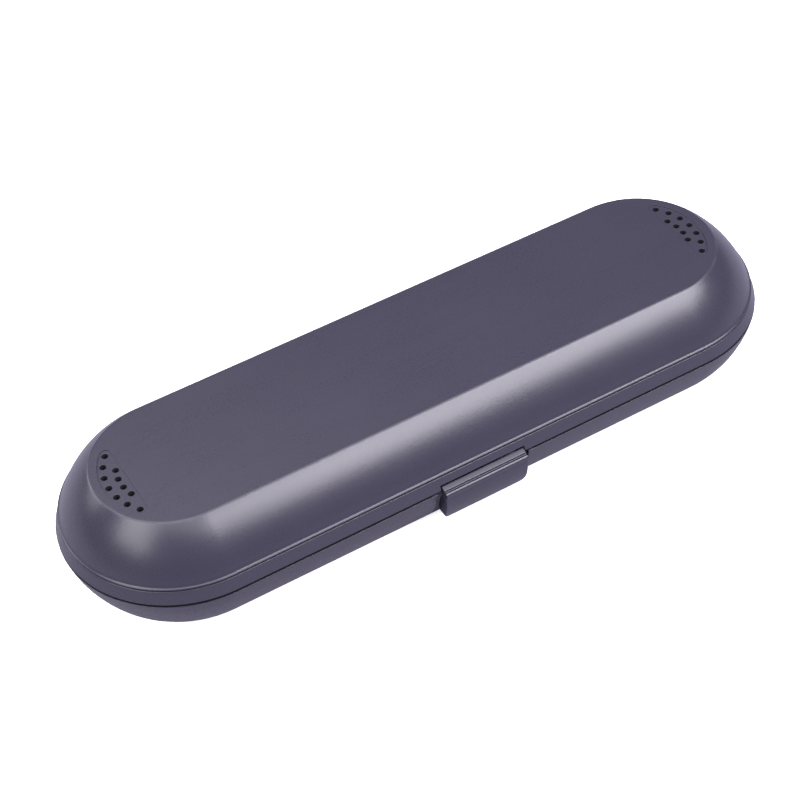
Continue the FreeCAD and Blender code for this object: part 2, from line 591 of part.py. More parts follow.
def make_lid_rim():
    piece = Piece("lid_rim")
    step = f"{SIDE} - band_turn_in - groove_depth"
    tongue_foot = f"{SHELL_EDGE} - lid_wall - tongue_gap"
    tongue_top = f"{SHELL_FOOT} + tongue_height"
    piece.sweep([
        (SIDE, LID_RIM), (f"{SIDE} - band_turn_in", BAND_TOP), (step, BAND_TOP), (step, SHELL_FOOT),
        (tongue_foot, SHELL_FOOT), (f"{tongue_foot} - {TONGUE_LEAN}", tongue_top),
        (f"{tongue_foot} - {TONGUE_LEAN} - tongue_width", tongue_top),
        (f"{SIDE} - rim_width", SHELL_FOOT), (f"{SIDE} - rim_width", LID_RIM)], SPAN)
    # notch that the latch flap's top turns in
    half = "(latch_width / 2 + latch_side_gap)"
    leg_front = f"(pocket_depth - lug_gap - lug_leg - {SIDE})"
    leg_back = f"(pocket_depth - lug_gap - {SIDE})"
    piece.slab("z", [rectangle(f"-{half}", half, f"-{SIDE} - 1", leg_front)],
               LID_RIM, f"{PARTING} + latch_notch_height", cut=True)
    # lugs that hang behind the flap and carry its pin
    root = f"{PARTING} + latch_notch_height"
    arm_top = f"{PIVOT_Z} - lug_radius - rim_gap / 2"
    arm_foot = f"{PARTING} - lug_drop"
    lug = piece.slab("x", [[
        (leg_front, root), (leg_front, arm_top),
        (f"{PIVOT_Y} + lug_radius", arm_top), (f"{PIVOT_Y} + lug_radius", PIVOT_Z, "lug_radius", 1),
        (PIVOT_Y, f"{PIVOT_Z} + lug_radius", "lug_radius", 1),
        (f"{PIVOT_Y} - lug_radius", PIVOT_Z, "lug_radius", 1), (PIVOT_Y, f"{PIVOT_Z} - lug_radius"),
        (f"{leg_front} - lug_leg", arm_foot), (leg_back, arm_foot), (leg_back, root)]],
        "lug_x - lug_width / 2", "lug_x + lug_width / 2")
    piece.mirror([lug])
    bore = piece.slab("x", [[(PIVOT_Y, PIVOT_Z, "latch_pin_radius + seat_clearance")]],
                      "lug_x - lug_width / 2", "lug_x + lug_width / 2", cut=True)
    piece.mirror([bore], cut=True)
    add_knuckles(piece, LID_KNUCKLE, BASE_KNUCKLES, 1, "lid_web", "turn_clearance")
    piece.slab("z", [[("-sensor_x", MAGNET_Y, "magnet_radius + seat_clearance")]],
               LID_RIM, f"{LID_RIM} + magnet_height", cut=True)
    keep("lid_rim", piece.body)


def make_lid_magnet():
    keep("lid_magnet", cylinder("magnet_radius", "magnet_height", "-sensor_x", MAGNET_Y, LID_RIM))


def vent_outline(chord, radius):
    """The D at the right end of the lid: a chord, round corners, an arc about the end's centre."""
    inner = f"({radius} - vent_corner)"
    corner_x = f"({chord} - {SPAN} + vent_corner)"
    corner_y = f"sqrt({inner} ^ 2 - {corner_x} ^ 2)"
    meet_x = f"{SPAN} + {corner_x} * ({radius}) / {inner}"
    meet_y = f"{corner_y} * ({radius}) / {inner}"
    return [(chord, f"-{corner_y}", "vent_corner", 1), (meet_x, f"-{meet_y}", radius, 1),
            (meet_x, meet_y, "vent_corner", 1), (chord, corner_y)]


VENT_RADIUS = f"({LID_CREASE} - vent_margin)"
VENT_CHORD = f"({SPAN} + {VENT_RADIUS} - vent_reach)"
HOLE_ROWS = [(f"({VENT_RADIUS} - outer_row_inset)", "outer_row_step", range(-3, 4)),
             (f"({VENT_RADIUS} - inner_row_inset)", "inner_row_step", (-1.5, -0.5, 0.5, 1.5))]


def make_lid_shell():
    piece = Piece("lid_shell")
    piece.sweep([("0", SHELL_FOOT), (SHELL_EDGE, SHELL_FOOT, "lid_side_radius", 1),
                 (LID_CREASE, LID_TOP), ("0", LID_TOP)], SPAN)
    piece.sweep([("0", SHELL_FOOT),
                 (f"{SHELL_EDGE} - lid_wall", SHELL_FOOT, "lid_side_radius - lid_wall", 1),
                 (CEILING_CREASE, CEILING), ("0", CEILING)], SPAN, cut=True)
    bosses = [piece.slab("z", [[(x, y, "boss_radius")]], LINER_TOP, CEILING) for x, y in LINER_SCREWS]
    piece.mirror(bosses)
    cuts = [piece.slab("z", [[(x, y, "screw_radius + seat_clearance")]], LINER_TOP,
                       f"{LINER_UNDER} + liner_screw_length", cut=True) for x, y in LINER_SCREWS]
    cuts.append(piece.slab("z", [vent_outline(VENT_CHORD, VENT_RADIUS)],
                           f"{LID_TOP} - vent_depth", LID_TOP, cut=True))
    for radius, step, places in HOLE_ROWS:
        holes = [[(f"{SPAN} + {radius} * cos({turn} * {step})", f"{radius} * sin({turn} * {step})",
                   "vent_hole_radius")] for turn in places]
        cuts.append(piece.slab("z", holes, CEILING, f"{LID_TOP} - vent_depth", cut=True))
    piece.mirror(cuts, cut=True)
    keep("lid_shell", piece.body)


def make_lid_liner():
    piece = Piece("lid_liner")
    foot = f"{SIDE} - rim_width - liner_gap"
    bend = f"{foot} - {TONGUE_LEAN} - tongue_width"
    bend_z = f"{SHELL_FOOT} + tongue_height"
    corner = f"{SIDE} - liner_turn_in"
    low = f"{LID_RIM} + liner_lift"
    piece.sweep([("0", low), (foot, low), (foot, SHELL_FOOT), (bend, bend_z, "liner_side_radius", 1),
                 (corner, LINER_TOP), ("0", LINER_TOP)], SPAN)
    piece.sweep([("0", low), (f"{foot} - liner_wall", low), (f"{foot} - liner_wall", SHELL_FOOT),
                 (f"{bend} - liner_wall", bend_z, "liner_side_radius - liner_wall", 1),
                 (f"{corner} - liner_wall / 2", LINER_UNDER), ("0", LINER_UNDER)], SPAN, cut=True)
    opening = vent_outline(f"{VENT_CHORD} + filter_overlap", f"{VENT_RADIUS} - filter_overlap")
    cuts = [piece.slab("z", [opening], LINER_UNDER, LINER_TOP, cut=True)]
    cuts += [piece.slab("z", [[(x, y, "screw_radius + screw_hole_gap")]], LINER_UNDER, LINER_TOP, cut=True)
             for x, y in LINER_SCREWS]
    piece.mirror(cuts, cut=True)
    keep("lid_liner", piece.body)


def make_vent_filter(label, side):
    piece = Piece(label)
    piece.slab("z", [vent_outline(f"{VENT_CHORD} - filter_overlap", f"{VENT_RADIUS} + filter_overlap / 2")],
               LINER_TOP, f"{LINER_TOP} + filter_thickness")
    if side < 0:
        piece.body.Placement = FreeCAD.Placement(
            FreeCAD.Vector(), FreeCAD.Rotation(FreeCAD.Vector(0, 0, 1), 180))
    keep(label, piece.body)


def make_liner_screws():
    keep("liner_screws", group([screw(f"{side} * {x}", y, LINER_UNDER, "liner_screw_length", -1)
                                for side in (-1, 1) for x, y in LINER_SCREWS]))


def make_hinge_pin(label, side):
    length = "(lid_knuckle_width + 2 * knuckle_side_gap + 2 * base_knuckle_width)"
    start = f"{side} * hinge_x - {length} / 2"
    keep(label, cylinder("hinge_pin_radius", length, start, HINGE_Y, PARTING, "x"))


def latch_y(inset):
    """How far back a point of the latch stands, by its depth behind the case's widest line."""
    return f"({inset} - {SIDE})"


def make_latch_flap():
    piece = Piece("latch_flap")
    half = "(latch_width / 2)"
    face = "(bead_proud - latch_proud)"
    foot = f"{PARTING} - latch_drop"
    top = f"{PARTING} + latch_top"
    piece.slab("x", [[
        (latch_y("ledge_depth"), top), (latch_y(f"{face} + latch_bevel"), top),
        (latch_y(face), f"{top} - latch_bevel"), (latch_y(face), f"{PARTING} - bead_top", "bead_radius", 1),
        (latch_y(f"{face} + latch_bevel"), f"{PARTING} - bead_foot", "plate_radius", 1),
        (latch_y("plate_foot_front"), foot), (latch_y("plate_foot_back"), foot),
        (latch_y("plate_middle_back"), f"{PARTING} - plate_middle_drop"),
        (latch_y("plate_top_back"), f"{PARTING} - plate_top_drop"),
        (latch_y("ledge_depth"), f"{PARTING} - ledge_foot")]], f"-{half}", half)
    for drop in ("upper_groove_drop", "lower_groove_drop"):
        low = f"{top} - {drop}"
        piece.slab("x", [rectangle(latch_y(face), latch_y(f"{face} + latch_groove"),
                                   low, f"{low} + latch_groove")], f"-{half}", half, cut=True)
    # round lower corners
    corner = piece.slab("y", [[(f"{half} - latch_corner", foot, "latch_corner", 1),
                               (half, f"{foot} + latch_corner"), (half, foot)]],
                        f"-{SIDE} - latch_proud - 1", f"pocket_depth - {SIDE}", cut=True)
    piece.mirror([corner], cut=True)
    # slots behind the front skin for the lugs
    skin = f"{PIVOT_Y} - lug_radius - knuckle_relief"
    slot = piece.slab("x", [rectangle(skin, latch_y("pocket_depth"),
                                      f"{PARTING} - lug_drop - knuckle_relief",
                                      f"{PIVOT_Z} + lug_radius + knuckle_relief")],
                      "lug_x - lug_width / 2 - knuckle_side_gap",
                      "lug_x + lug_width / 2 + knuckle_side_gap", cut=True)
    piece.mirror([slot], cut=True)
    piece.slab("x", [[(PIVOT_Y, PIVOT_Z, "latch_pin_radius + turn_clearance")]], f"-{half}", half, cut=True)
    keep("latch_flap", piece.body)


def make_latch_pin():
    keep("latch_pin", cylinder("latch_pin_radius", "latch_width - 1", "0.5 - latch_width / 2",
                               PIVOT_Y, PIVOT_Z, "x"))


def make_deck_screws():
    seat = f"{DECK_TOP} - screw_head_height"
    keep("deck_screws", group([screw(f"{side} * {x}", y, seat, "deck_screw_length")
                               for side in (-1, 1) for x, y, _ in DECK_SCREWS]))


def make_board_screws():
    keep("board_screws", group([screw(f"{side} * {x}", y, BOARD_TOP, "board_screw_length")
                                for side in (-1, 1) for x, y in POSTS]))


def make_main_board():
    piece = Piece("main_board")
    piece.slab("z", [rectangle("-board_length / 2", "board_length / 2",
                               f"{HEAD_Y} - board_width / 2", f"{HEAD_Y} + board_width / 2")],
               BOARD_FOOT, BOARD_TOP)
    holes = [piece.slab("z", [[(x, y, "screw_radius + screw_hole_gap")]], BOARD_FOOT, BOARD_TOP, cut=True)
             for x, y in POSTS]
    piece.mirror(holes, cut=True)
    keep("main_board", piece.body)


def make_battery():
    piece = Piece("battery_cell")
    corner = "(cell_height / 4)"
    low = f"({FLOOR} + cell_gap)"
    piece.slab("x", [rounded(f"({CELL_Y} - cell_width / 2)", f"({CELL_Y} + cell_width / 2)",
                             low, f"({low} + cell_height)", corner)],
               "-cell_length / 2", "cell_length / 2")
    keep("battery_cell", piece.body)


def make_battery_leads():
    """Two wires that leave the cell's end, bend up and meet the underside of the board."""
    leads = []
    x = number("-cell_length / 2")
    bend = number("lead_bend")
    z = number(f"{FLOOR} + cell_gap + cell_height / 2")
    top = number(BOARD_FOOT)
    for shift in (-1, 1):
        y = number(f"{CELL_Y} + {shift} * lead_pitch / 2")
        run = x - number("lead_reach") + bend
        points = [FreeCAD.Vector(x, y, z), FreeCAD.Vector(run, y, z),
                  FreeCAD.Vector(run - bend, y, z + bend), FreeCAD.Vector(run - bend, y, top)]
        half_turn = math.sqrt(0.5)
        middle = FreeCAD.Vector(run - bend * half_turn, y, z + bend * (1 - half_turn))
        path = Part.Wire([Part.LineSegment(points[0], points[1]).toShape(),
                          Part.Arc(points[1], middle, points[2]).toShape(),
                          Part.LineSegment(points[2], points[3]).toShape()])
        section = Part.Wire([Part.makeCircle(number("lead_radius"), points[0], FreeCAD.Vector(1, 0, 0))])
        leads.append(path.makePipeShell([section], True, False))
    item = doc.addObject("Part::Feature", "battery_leads")
    item.Shape = Part.makeCompound(leads)
    keep("battery_leads", item)


def make_usb_socket():
    piece = Piece("usb_socket")
    low, high = f"({USB_Z} - usb_height / 2)", f"({USB_Z} + usb_height / 2)"
    half = "(usb_width / 2)"
    end = f"({half} - usb_skin)"
    round_shell = rounded(f"(-{half})", half, low, high, "usb_corner")
    piece.slab("y", [round_shell], f"{USB_MOUTH} - usb_length", USB_MOUTH)
    piece.slab("y", [rounded(f"(-{end})", end, f"({low} + usb_skin)", f"({high} - usb_skin)",
                             "(usb_corner - usb_skin)")],
               f"{USB_MOUTH} - usb_length + 1", USB_MOUTH, cut=True)
    piece.slab("y", [rectangle("-usb_width / 2 + 1.2", "usb_width / 2 - 1.2",
                               f"{USB_Z} - usb_tongue / 2", f"{USB_Z} + usb_tongue / 2")],
               f"{USB_MOUTH} - usb_length + 0.5", f"{USB_MOUTH} - 0.8")
    keep("usb_socket", piece.body)


def make_switch():
    top = f"{BOARD_TOP} + switch_height"
    body = centred("0", BUTTON_Y, "switch_width", "switch_width", BOARD_TOP, top)
    well = cylinder("plunger_radius + plunger_gap", "plunger_depth + button_travel", "0", BUTTON_Y,
                    f"{top} - plunger_depth - button_travel")
    keep("power_switch", cut(body, well))
    keep("switch_plunger", cylinder("plunger_radius", "plunger_depth + plunger_height", "0", BUTTON_Y,
                                    f"{top} - plunger_depth"))


def make_power_button():
    piece = Piece("power_button")
    foot = f"({BOARD_TOP} + switch_height + plunger_height)"
    flange = f"({DECK_UNDER} - button_gap)"
    piece.slab("z", [[("0", BUTTON_Y, "button_stem")]], foot, flange)
    plate = f"{flange} - flange_height"
    piece.slab("z", [[("0", BUTTON_Y, "button_radius + button_flange")]], plate, flange)
    piece.slab("z", [[("0", BUTTON_Y, "button_radius")]], plate, f"{DECK_TOP} + button_proud")
    keep("power_button", piece.body)


def make_small_parts():
    led_top = f"{BOARD_TOP} + led_height"
    keep("status_led", centred("0", PIPE_Y, "led_width", "led_width / 2", BOARD_TOP, led_top))
    pipe = join([cylinder("pipe_radius", f"{DECK_TOP} - {led_top} - button_gap", "0", PIPE_Y,
                          f"{led_top} + button_gap"),
                 cylinder("pipe_radius + pipe_flange", "flange_height", "0", PIPE_Y,
                          f"{DECK_UNDER} - flange_height")])
    keep("light_pipe", pipe)
    keep("control_chip", centred("(board_length / 4)", BUTTON_Y, "chip_width", "chip_width", BOARD_TOP,
                                 f"{BOARD_TOP} + chip_height"))
    keep("boost_coil", centred("(board_length / 4)", PIPE_Y, "coil_width", "coil_width", BOARD_TOP,
                               f"{BOARD_TOP} + coil_height"))
    head_low = f"({DECK_UNDER} - sensor_gap - sensor_height)"
    legs = [centred(f"(-sensor_x + {step} * sensor_width / 3)", SENSOR_Y, "sensor_leg", "sensor_leg",
                    BOARD_TOP, head_low) for step in (-1, 0, 1)]
    head = centred("-sensor_x", SENSOR_Y, "sensor_width", "sensor_depth", head_low,
                   f"{head_low} + sensor_height")
    keep("hall_sensor", join([head] + legs))


def make_lamp(name, side):
    """Lamp board, lamp, window and header at one end of the bay."""
    face = f"({HEAD_NEAR} - trough_wall - uv_led_height - 3 * uv_board_gap)"

    def upright(thick_from, thick_to, width, low, high):
        ends = sorted((f"{side} * {thick_from}", f"{side} * {thick_to}"), key=number)
        return block(*ends, f"{HEAD_Y} - {width} / 2", f"{HEAD_Y} + {width} / 2", low, high)

    keep(f"uv_board_{name}", upright(f"({face} - uv_board_thickness)", face, "uv_board_width",
                                     f"{BOARD_FOOT} - uv_board_drop", f"{WINDOW_Z} + uv_board_rise"))
    keep(f"uv_led_{name}", upright(face, f"({face} + uv_led_height)", "uv_led_width",
                                   f"{WINDOW_Z} - uv_led_width / 2", f"{WINDOW_Z} + uv_led_width / 2"))
    keep(f"uv_header_{name}", upright(f"({face} - uv_board_thickness - header_depth)",
                                      f"({face} - uv_board_thickness)", "header_width",
                                      BOARD_TOP, f"{BOARD_TOP} + header_height"))
    start = f"{HEAD_NEAR} - trough_wall" if side > 0 else f"-{HEAD_NEAR}"
    keep(f"uv_window_{name}", cylinder("window_radius", "trough_wall", start, HEAD_Y, WINDOW_Z, "x"))


make_base_shell()
make_rubber_feet()
make_deck_tray()
make_handle_tub()
make_head_tub("head_tub_left", -1)
make_head_tub("head_tub_right", 1)
make_rim_seal()
make_handle_pads()
make_lid_rim()
make_lid_magnet()
make_lid_shell()
make_lid_liner()
make_vent_filter("vent_filter_left", -1)
make_vent_filter("vent_filter_right", 1)
make_liner_screws()
make_hinge_pin("hinge_pin_left", -1)
make_hinge_pin("hinge_pin_right", 1)
make_latch_flap()
make_latch_pin()
make_deck_screws()
make_board_screws()
make_main_board()
make_battery()
make_battery_leads()
make_usb_socket()
make_switch()
make_power_button()
make_small_parts()
make_lamp("left", -1)
make_lamp("right", 1)

doc.recompute()
for item in doc.Objects:
    if "Invalid" in item.State or "Error" in item.State:
        raise RuntimeError(f"{item.Label} has failed: {item.State}")
for node in nodes:
    if node.Shape.isNull() or not node.Shape.isValid():
        raise RuntimeError(f"{node.Label} has no valid shape")

os.makedirs("parts", exist_ok=True)
for node in nodes:
    node.Shape.exportStep(f"parts/{node.Label}.step")
    print(f"{node.Label}: {len(node.Shape.Solids)} solid(s), {node.Shape.Volume:.1f} mm3")
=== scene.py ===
import json
import math

import bpy
from mathutils import Matrix, Vector


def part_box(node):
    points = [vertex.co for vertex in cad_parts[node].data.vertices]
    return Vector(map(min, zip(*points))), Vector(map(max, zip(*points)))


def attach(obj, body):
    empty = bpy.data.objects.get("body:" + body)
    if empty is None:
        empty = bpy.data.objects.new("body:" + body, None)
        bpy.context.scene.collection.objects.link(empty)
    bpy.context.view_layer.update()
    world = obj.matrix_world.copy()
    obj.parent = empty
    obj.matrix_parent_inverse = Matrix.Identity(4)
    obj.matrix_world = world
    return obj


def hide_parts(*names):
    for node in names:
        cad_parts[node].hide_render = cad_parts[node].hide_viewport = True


# The looks of a pocket case that keeps and sanitizes a toothbrush. Metres throughout: X runs along
# the case, the latch is at -Y, the hinges are at +Y, and the case stands on Z = 0.

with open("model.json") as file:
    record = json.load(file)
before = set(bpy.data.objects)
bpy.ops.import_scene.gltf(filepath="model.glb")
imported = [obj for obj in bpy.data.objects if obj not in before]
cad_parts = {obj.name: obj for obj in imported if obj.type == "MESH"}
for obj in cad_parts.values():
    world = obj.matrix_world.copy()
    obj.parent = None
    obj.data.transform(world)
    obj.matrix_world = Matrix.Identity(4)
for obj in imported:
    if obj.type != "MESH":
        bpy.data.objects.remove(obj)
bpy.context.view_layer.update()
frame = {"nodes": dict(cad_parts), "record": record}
MM = 0.001

# Places that the pieces and finishes share, read from the frame. The case is a stadium from above:
# SPAN is how far the centre of each round end lies from the middle.
shell_low, shell_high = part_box("lid_shell")
screws_low, screws_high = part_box("liner_screws")
LINER_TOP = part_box("lid_liner")[1].z
SHELL_EDGE = shell_high.y
SHELL_FOOT = shell_low.z
SPAN = shell_high.x - SHELL_EDGE
LID_TOP = shell_high.z
LID_WALL = 2.2 * MM
LID_CEILING = LID_TOP - LID_WALL
VENT_DEPTH = 0.4 * MM

# Points nearer than these are one point, and faces flatter than these are one face.
SAME_PLACE = 0.002 * MM
SPUN_SHUT = 0.01 * MM
SAME_PLANE = math.radians(0.3)
SMOOTH_BELOW = math.radians(42)


# ---------------------------------------------------------------- shaping by hand

def only(piece):
    """Select one object and nothing else."""
    bpy.ops.object.select_all(action="DESELECT")
    piece.select_set(True)
    bpy.context.view_layer.objects.active = piece


def start_edit(piece, kind="EDGE"):
    only(piece)
    bpy.ops.object.mode_set(mode="EDIT")
    bpy.ops.mesh.select_mode(type=kind)
    bpy.ops.mesh.select_all(action="DESELECT")


def end_edit():
    bpy.ops.object.mode_set(mode="OBJECT")


def settle(piece):
    """Put a piece's place into its mesh, so that its object sits at the origin."""
    only(piece)
    bpy.ops.object.transform_apply(location=True, rotation=True, scale=True)


def apply(piece, kind, **settings):
    """Add one modifier with its settings and apply it."""
    only(piece)
    modifier = piece.modifiers.new(kind.title(), kind)
    for name, value in settings.items():
        setattr(modifier, name, value)
    bpy.ops.object.modifier_apply(modifier=modifier.name)


def round_edges(piece, width, segments=3, sharper_than=38):
    """Break every sharp edge, then shade smooth with broad faces kept flat."""
    apply(piece, "BEVEL", width=width, segments=segments, limit_method="ANGLE",
          angle_limit=math.radians(sharper_than), use_clamp_overlap=False)
    only(piece)
    bpy.ops.object.shade_smooth_by_angle(angle=SMOOTH_BELOW)
    apply(piece, "WEIGHTED_NORMAL", mode="FACE_AREA_WITH_ANGLE", keep_sharp=True)


def combine(piece, other, operation):
    """Cut one solid with another, or join them, and drop the other."""
    apply(piece, "BOOLEAN", object=other, operation=operation, solver="EXACT")
    bpy.data.objects.remove(other)


def joined(pieces, name):
    """Several loose solids as one object."""
    bpy.ops.object.select_all(action="DESELECT")
    for piece in pieces:
        piece.select_set(True)
    bpy.context.view_layer.objects.active = pieces[0]
    bpy.ops.object.join()
    pieces[0].name = name
    return pieces[0]


def rod(low, high, radius, sides=48):
    """An upright rod on the case's middle axis, between two heights."""
    bpy.ops.object.select_all(action="DESELECT")
    bpy.ops.mesh.primitive_cylinder_add(
        vertices=sides, radius=radius, depth=high - low, location=(0, 0, (low + high) / 2))
    piece = bpy.context.active_object
    settle(piece)
    return piece


def copies(piece, places):
    """One copy of a piece, with its own mesh, at each (x, y) place. The first piece is dropped."""
    made = []
    for x, y in places:
        copy = bpy.data.objects.new(piece.name, piece.data.copy())
        bpy.context.scene.collection.objects.link(copy)
        copy.location = (x, y, 0)
        settle(copy)
        made.append(copy)
    bpy.data.objects.remove(piece)
    return made


def arc(start, stop, radius, steps):
    """Points from start to stop on an arc that bulges outward, both ends included."""
    first, last = Vector(start), Vector(stop)
    chord = last - first
    left = Vector((-chord.y, chord.x)).normalized()
    centre = (first + last) / 2 + left * math.sqrt(radius ** 2 - chord.length_squared / 4)
    begin = math.atan2(first.y - centre.y, first.x - centre.x)
    sweep = 2 * math.asin(chord.length / 2 / radius)
    return [(centre.x + radius * math.cos(begin + sweep * step / steps),
             centre.y + radius * math.sin(begin + sweep * step / steps))
            for step in range(steps + 1)]


def turn_points(centre, radius, begin, end, steps):
    """Points on an arc about a centre, from one angle to another in degrees."""
    angles = [math.radians(begin + (end - begin) * step / steps) for step in range(steps + 1)]
    return [(centre[0] + radius * math.cos(a), centre[1] + radius * math.sin(a)) for a in angles]


def softened(outline, corner, reach, steps=6):
    """An outline whose corner with this number is rounded off, reach away along both sides."""
    point = Vector(outline[corner])
    before = Vector(outline[corner - 1])
    after = Vector(outline[corner + 1])
    begin = point + (before - point).normalized() * reach
    end = point + (after - point).normalized() * reach
    curve = []
    for step in range(steps + 1):
        share = step / steps
        curve.append(tuple(begin * (1 - share) ** 2 + point * 2 * share * (1 - share)
                           + end * share ** 2))
    return outline[:corner] + curve + outline[corner + 1:]


def extruded(name, points, way):
    """A block with this closed outline, carried along a vector."""
    bpy.ops.object.select_all(action="DESELECT")
    bpy.ops.mesh.primitive_circle_add(vertices=len(points), radius=1, fill_type="NGON")
    piece = bpy.context.active_object
    piece.name = name
    for vertex, point in zip(piece.data.vertices, points):
        vertex.co = point
    start_edit(piece)
    bpy.ops.mesh.select_all(action="SELECT")
    bpy.ops.mesh.extrude_region_move(TRANSFORM_OT_translate={"value": way})
    bpy.ops.mesh.select_all(action="SELECT")
    bpy.ops.mesh.normals_make_consistent(inside=False)
    end_edit()
    return piece


def stadium(name, outline, span, steps=56):
    """Carry an open outline of (radius, height) round a stadium, and close both of its rims."""
    bpy.ops.object.select_all(action="DESELECT")
    bpy.ops.mesh.primitive_circle_add(vertices=len(outline), radius=1)
    piece = bpy.context.active_object
    piece.name = name
    for vertex, (radius, height) in zip(piece.data.vertices, outline):
        vertex.co = (span, radius, height)
    ends = {0, len(outline) - 1}
    for edge in piece.data.edges:
        edge.select = ends == set(edge.vertices)
    for vertex in piece.data.vertices:
        vertex.select = vertex.index in ends
    only(piece)
    bpy.ops.object.mode_set(mode="EDIT")
    bpy.ops.mesh.select_mode(type="EDGE")
    bpy.ops.mesh.delete(type="EDGE")
    bpy.ops.mesh.select_all(action="SELECT")
    for side in (1, -1):
        bpy.ops.mesh.spin(steps=steps, angle=math.pi, center=(side * span, 0, 0), axis=(0, 0, 1))
        bpy.ops.mesh.extrude_region_move(
            TRANSFORM_OT_translate={"value": (-2 * side * span, 0, 0)})
    bpy.ops.mesh.select_all(action="SELECT")
    bpy.ops.mesh.remove_doubles(threshold=SPUN_SHUT)
    bpy.ops.mesh.fill_holes(sides=0)
    bpy.ops.mesh.select_all(action="SELECT")
    bpy.ops.mesh.normals_make_consistent(inside=False)
    end_edit()
    return piece


def copy_of(node):
    """A copy of a CAD node's mesh, merged into one skin with its flat faces whole."""
    piece = bpy.data.objects.new(f"{node}_finished", frame["nodes"][node].data.copy())
    bpy.context.scene.collection.objects.link(piece)
    start_edit(piece)
    bpy.ops.mesh.select_all(action="SELECT")
    bpy.ops.mesh.customdata_custom_splitnormals_clear()
    bpy.ops.mesh.remove_doubles(threshold=SAME_PLACE)
    bpy.ops.mesh.dissolve_limited(angle_limit=SAME_PLANE)
    end_edit()
    return piece


def paint(piece, material):
    piece.data.materials.clear()
    piece.data.materials.append(material)


def stand_for(piece, node):
    """The piece rides where the CAD node does, is shown in its place, and has its finish."""
    body = next(b for b, members in frame["record"]["behaviour"]["bodies"].items()
                if node in members)
    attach(piece, body)
    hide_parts(node)
    paint(piece, FINISHES[SLOTS[node]])


# ---------------------------------------------------------------- finishes

class Value:
    """A shader socket that takes part in arithmetic."""

    def __init__(self, finish, socket):
        self.finish = finish
        self.socket = socket

    def maths(self, operation, first, second):
        return self.finish.node("ShaderNodeMath", {"operation": operation}, {0: first, 1: second})

    def __add__(self, other):
        return self.maths("ADD", self, other)

    def __radd__(self, other):
        return self.maths("ADD", other, self)

    def __sub__(self, other):
        return self.maths("SUBTRACT", self, other)

    def __rsub__(self, other):
        return self.maths("SUBTRACT", other, self)

    def __mul__(self, other):
        return self.maths("MULTIPLY", self, other)

    def __rmul__(self, other):
        return self.maths("MULTIPLY", other, self)

    def __lt__(self, other):
        return self.maths("LESS_THAN", self, other)


class Finish:
    """The nodes of one material, or of the world."""

    def __init__(self, name, store=bpy.data.materials):
        self.owner = store.new(name)
        self.owner.use_nodes = True
        self.tree = self.owner.node_tree
        self.tree.nodes.clear()
        self.place = self.node("ShaderNodeTexCoord", output="Object")

    def node(self, kind, settings=None, links=None, output=0):
        """Add a node: its settings first, then the values or links of its sockets."""
        node = self.tree.nodes.new(kind)
        for name, value in (settings or {}).items():
            if name == "stops":
                self.set_stops(node.color_ramp, value)
            else:
                setattr(node, name, value)
        for name, value in (links or {}).items():
            if isinstance(value, Value):
                self.tree.links.new(value.socket, node.inputs[name])
            else:
                node.inputs[name].default_value = value
        return Value(self, node.outputs[output]) if node.outputs else None

    def set_stops(self, ramp, stops):
        while len(ramp.elements) < len(stops):
            ramp.elements.new(0.5)
        for element, (position, shade) in zip(ramp.elements, stops):
            element.position = position
            element.color = tone(shade, shade, shade)

    def stretched(self, x, y, z):
        """The place with each axis multiplied, for grain that runs one way."""
        return self.node("ShaderNodeMapping", {}, {"Vector": self.place, "Scale": (x, y, z)})

    def noise(self, size, detail=2.0, rough=0.5, place=None):
        """Soft noise whose blobs are about this size in metres, centred on 0.5."""
        return self.node("ShaderNodeTexNoise", {}, {
            "Vector": place or self.place, "Scale": 1 / size, "Detail": detail, "Roughness": rough})

    def ridges(self, direction, width):
        """Round ridges across one axis, each about this wide, with grooves as wide between."""
        return self.node("ShaderNodeTexWave", {"wave_type": "BANDS", "bands_direction": direction},
                         {"Vector": self.place, "Scale": 1 / (2 * math.pi * width)})

    def specks(self, size, share):
        """Round dots, each about this size, on a share of a lattice's cells."""
        spacing = 6
        cells = {"Vector": self.place, "Scale": 1 / (size * spacing)}
        near = self.node("ShaderNodeTexVoronoi", {}, cells, "Distance") < 0.5 / spacing
        chosen = self.node("ShaderNodeTexWhiteNoise", {"noise_dimensions": "3D"}, {
            "Vector": self.node("ShaderNodeTexVoronoi", {}, cells, "Position")}) < share
        return near * chosen

    def ramp(self, value, *stops):
        return self.node("ShaderNodeValToRGB", {"stops": stops}, {"Fac": value})

    def mix(self, factor, first, second):
        return self.node("ShaderNodeMix", {"data_type": "RGBA"},
                         {0: factor, 6: first, 7: second}, 2)

    def axis(self, name):
        """One coordinate of the place, in metres."""
        return self.node("ShaderNodeSeparateXYZ", {}, {"Vector": self.place}, name)

    def facing(self, name):
        """How squarely a face looks along one of the world's axes, the same for both ways.

        It is right for a piece at rest, and is off when the piece turns about another axis.
        """
        normal = self.node("ShaderNodeNewGeometry", output="Normal")
        along = self.node("ShaderNodeSeparateXYZ", {}, {"Vector": normal}, name)
        return self.node("ShaderNodeMath", {"operation": "ABSOLUTE"}, {0: along})

    def camera_sees(self):
        return self.node("ShaderNodeLightPath", output="Is Camera Ray")

    def bump(self, height, depth, normal=None):
        links = {"Height": height, "Distance": depth}
        if normal:
            links["Normal"] = normal
        return self.node("ShaderNodeBump", {}, links)

    def surface(self, **sockets):
        """The principled shader, with its sockets' names in words joined by underscores."""
        links = {name.replace("_", " "): value for name, value in sockets.items()}
        shader = self.node("ShaderNodeBsdfPrincipled", {}, links)
        self.node("ShaderNodeOutputMaterial", {}, {"Surface": shader})
        return self.owner


def tone(red, green, blue, strength=1):
    return (red * strength, green * strength, blue * strength, 1)


